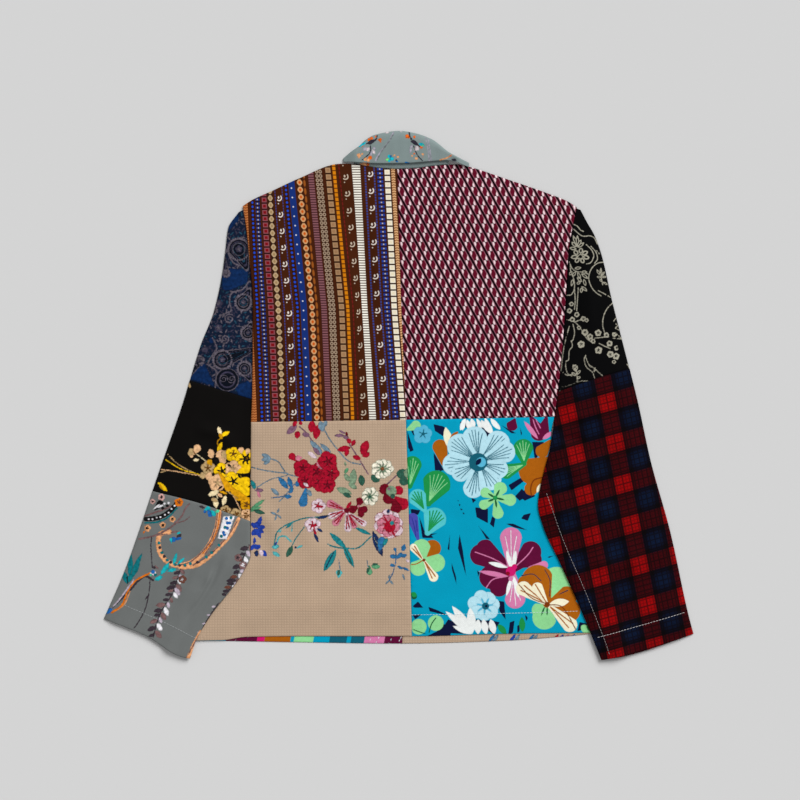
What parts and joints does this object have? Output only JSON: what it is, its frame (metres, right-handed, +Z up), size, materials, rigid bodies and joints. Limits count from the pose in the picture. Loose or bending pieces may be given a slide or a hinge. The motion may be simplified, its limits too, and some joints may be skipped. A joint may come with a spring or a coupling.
{
  "type": "patchwork jacket laid flat",
  "caption": "Short open-sleeved jacket sewn from patches of printed cloth, with a folded collar, lying flat on its front so that its back faces up.",
  "frame": {"origin": "on the surface that the jacket lies on, under the middle of its outline", "axes": "+X towards the wearer's right sleeve, +Y towards the collar, +Z up out of the back"},
  "size_m": [0.7959, 0.714, 0.0088],
  "materials": {
    "collar_floral": "smooth grey-green cotton printed with small orange florets and dark twigs",
    "stripe_print": "brown cotton printed with narrow ornamental stripes",
    "burgundy_leaf": "burgundy cloth with a small repeat of leaf shapes and pale crescents",
    "beige_bouquet": "beige waffle weave printed with a loose bouquet",
    "turquoise_floral": "turquoise cotton printed with large tropical flowers and leaves",
    "navy_paisley": "navy satin-faced cloth with a tan paisley",
    "black_blossom": "black cotton with a spray of yellow blossom",
    "grey_scroll": "grey cotton with a peach scroll and dark branches",
    "black_line_floral": "black cotton with off-white line-drawn flowers",
    "red_plaid": "brushed flannel in a red, navy and black check"
  },
  "bodies": {
    "root": {"collar_fall": "collar_floral", "collar_stand": "collar_floral", "back_upper_left": "stripe_print", "back_upper_right": "burgundy_leaf", "back_lower_left": "beige_bouquet", "back_lower_right": "turquoise_floral", "front_upper_left": "burgundy_leaf", "front_upper_right": "stripe_print", "front_lower_left": "turquoise_floral", "front_lower_right": "beige_bouquet", "sleeve_left_upper": "navy_paisley", "sleeve_left_middle": "black_blossom", "sleeve_left_lower": "grey_scroll", "sleeve_right_upper": "black_line_floral", "sleeve_right_lower": "red_plaid"}
  },
  "joints": []
}
